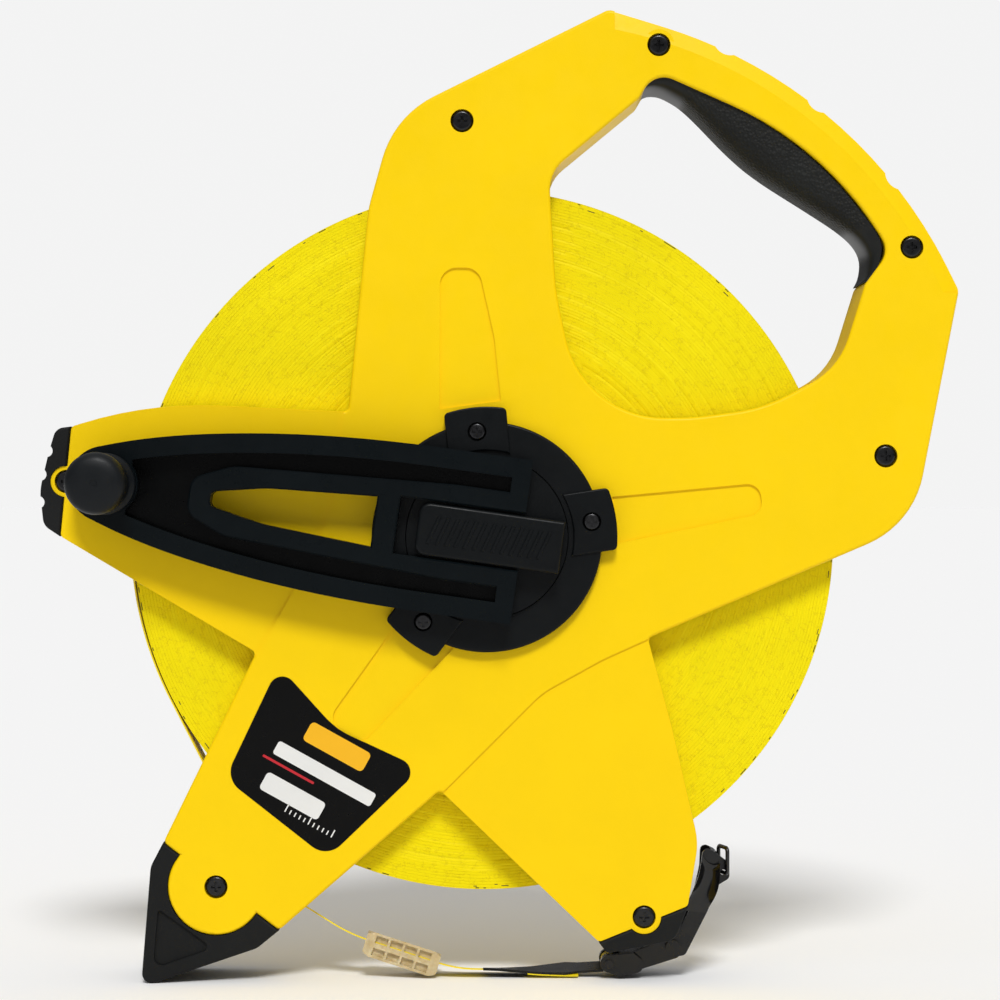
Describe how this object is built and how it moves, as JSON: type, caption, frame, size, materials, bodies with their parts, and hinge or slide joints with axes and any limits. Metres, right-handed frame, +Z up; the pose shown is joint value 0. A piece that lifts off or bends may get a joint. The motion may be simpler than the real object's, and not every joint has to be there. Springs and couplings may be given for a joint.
{
  "type": "surveyor tape reel",
  "caption": "Hand-held open-frame long tape reel with geared winding crank, carrying handle, rubber feet and a hinged steel end hook.",
  "frame": {"origin": "middle of the base of the bounding box, with the reel standing on its legs", "axes": "front face and crank towards -Y, +X to the right seen from the front, +Z up along the body"},
  "size_m": [0.3308, 0.077, 0.3506],
  "materials": {
    "shell_yellow": "fine satin moulded ABS",
    "foot_rubber": "matte moulded rubber",
    "grip_rubber": "textured matte rubber",
    "hub_black": "satin moulded nylon",
    "knob_black": "fine matte",
    "black_steel": "black oxide",
    "label_film": "printed film",
    "gear_nylon": "natural nylon",
    "bright_steel": "zinc plated",
    "bush_bronze": "sintered",
    "spool_abs": "satin",
    "tape_yellow": "coated glass fibre tape",
    "stop_translucent": "translucent",
    "strap_black": "vinyl coated strap",
    "hook_steel": "black coated",
    "ring_steel": "black coated wire"
  },
  "bodies": {
    "frame": {"front_shell": "shell_yellow", "rear_shell": "shell_yellow", "left_foot_cap": "foot_rubber", "lower_left_foot_cap": "foot_rubber", "lower_right_foot_cap": "foot_rubber", "handle_grip": "grip_rubber", "label": "label_film", "shell_screws": "black_steel", "hub_retainer_ring": "hub_black", "ring_screws": "black_steel", "ring_gear": "gear_nylon", "axle": "bright_steel", "axle_nut": "bright_steel", "guide_pin": "bright_steel", "tape_lead": "tape_yellow", "tape_stop": "stop_translucent", "tape_end_strap": "strap_black"},
    "drum": {"spool_core": "spool_abs", "axle_bush": "bush_bronze", "spool_flange_front": "spool_abs", "spool_flange_rear": "spool_abs", "tape_pack": "tape_yellow", "sun_gear": "gear_nylon"},
    "crank": {"crank_disc": "hub_black", "planet_pins": "bright_steel", "planet_clips": "bright_steel", "crank_arm": "hub_black", "crank_block": "hub_black", "crank_screws": "black_steel", "knob_stud": "black_steel"},
    "knob": {"crank_knob": "knob_black"},
    "planet_1": {"planet_gear_1": "gear_nylon"},
    "planet_2": {"planet_gear_2": "gear_nylon"},
    "planet_3": {"planet_gear_3": "gear_nylon"},
    "roller": {"guide_roller": "gear_nylon"},
    "hook": {"hook_body": "hook_steel", "hook_pin": "bright_steel", "hook_rivet": "hook_steel"},
    "grab": {"grab_arm": "hook_steel"},
    "ring": {"hook_ring": "ring_steel"}
  },
  "joints": [
    {"name": "drum_spin", "type": "hinge", "parent": "frame", "child": "drum", "pos_m": [-0.00453, 0.0215, 0.16081], "axis": [0, 1, 0], "continuous": true},
    {"name": "crank_spin", "type": "hinge", "parent": "frame", "child": "crank", "pos_m": [-0.00453, 0.0025, 0.16081], "axis": [0, 1, 0], "continuous": true},
    {"name": "knob_spin", "type": "hinge", "parent": "crank", "child": "knob", "pos_m": [-0.14, -0.0235, 0.17985], "axis": [0, 1, 0], "continuous": true},
    {"name": "planet_1_spin", "type": "hinge", "parent": "crank", "child": "planet_1", "pos_m": [0.01797, 0.0095, 0.16081], "axis": [0, 1, 0], "continuous": true},
    {"name": "planet_2_spin", "type": "hinge", "parent": "crank", "child": "planet_2", "pos_m": [-0.01578, 0.0095, 0.1803], "axis": [0, 1, 0], "continuous": true},
    {"name": "planet_3_spin", "type": "hinge", "parent": "crank", "child": "planet_3", "pos_m": [-0.01578, 0.0095, 0.14132], "axis": [0, 1, 0], "continuous": true},
    {"name": "roller_spin", "type": "hinge", "parent": "frame", "child": "roller", "pos_m": [-0.08049, 0.0215, 0.03783], "axis": [0, 1, 0], "continuous": true},
    {"name": "hook_swing", "type": "hinge", "parent": "frame", "child": "hook", "pos_m": [0.03977, 0.0215, 0.00561], "axis": [0, 1, 0], "range_deg": [0, 85]},
    {"name": "grab_open", "type": "hinge", "parent": "hook", "child": "grab", "pos_m": [0.06307, 0.0215, 0.01161], "axis": [0, 1, 0], "range_deg": [0, 95]},
    {"name": "ring_swing", "type": "hinge", "parent": "grab", "child": "ring", "pos_m": [0.08177, 0.0215, 0.03791], "axis": [0, 1, 0], "range_deg": [-4, 100]}
  ],
  "couplings": [
    {"joint": "crank_spin", "follows": "drum_spin", "ratio": 0.33333},
    {"joint": "planet_1_spin", "follows": "drum_spin", "ratio": -1.3333},
    {"joint": "planet_2_spin", "follows": "drum_spin", "ratio": -1.3333},
    {"joint": "planet_3_spin", "follows": "drum_spin", "ratio": -1.3333}
  ]
}
